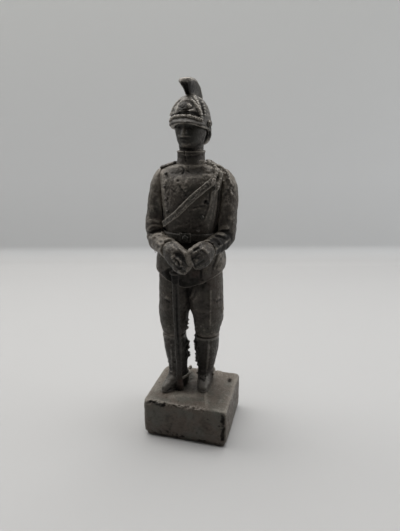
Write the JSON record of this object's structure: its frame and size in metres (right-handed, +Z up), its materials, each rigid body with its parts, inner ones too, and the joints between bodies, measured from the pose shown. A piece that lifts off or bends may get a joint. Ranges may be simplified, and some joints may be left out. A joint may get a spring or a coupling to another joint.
{
  "type": "toy soldier figure",
  "caption": "Cast metal toy soldier standing on a block plinth, in a combed cavalry helmet, double-breasted tunic and riding boots, both hands on a sheathed sabre.",
  "frame": {"origin": "middle of the plinth's flat underside, on the surface that the figure stands on", "axes": "+Z up through the helmet's comb, the figure faces -Y, and its own left side is +X"},
  "size_m": [0.0419, 0.0386, 0.159],
  "materials": {
    "plinth_metal": "rough dark cast metal, chipped edges",
    "cloth_metal": "rough dark cast metal, worn lighter on raised folds",
    "boot_metal": "rough dark cast metal",
    "flesh_metal": "dark cast metal, rubbed smooth",
    "helmet_metal": "dark cast metal, rubbed bright on its relief",
    "trim_metal": "dark cast metal, rubbed bright"
  },
  "bodies": {
    "root": {"plinth": "plinth_metal", "right_boot": "boot_metal", "left_boot": "boot_metal", "right_spur": "trim_metal", "left_spur": "trim_metal", "breeches": "cloth_metal", "tunic": "cloth_metal", "tunic_buttons": "trim_metal", "waist_belt": "trim_metal", "belt_buckle": "trim_metal", "cross_belt": "trim_metal", "pouch": "boot_metal", "collar": "cloth_metal", "head": "flesh_metal", "helmet": "helmet_metal", "helmet_peak": "helmet_metal", "helmet_comb": "helmet_metal", "helmet_rosette": "trim_metal", "strap_bosses": "trim_metal", "chin_strap": "trim_metal", "right_arm": "cloth_metal", "left_arm": "cloth_metal", "right_hand": "flesh_metal", "left_hand": "flesh_metal", "right_shoulder_strap": "trim_metal", "left_shoulder_strap": "trim_metal", "shoulder_cords": "trim_metal", "sabre_hilt": "trim_metal", "scabbard": "boot_metal"}
  },
  "joints": []
}
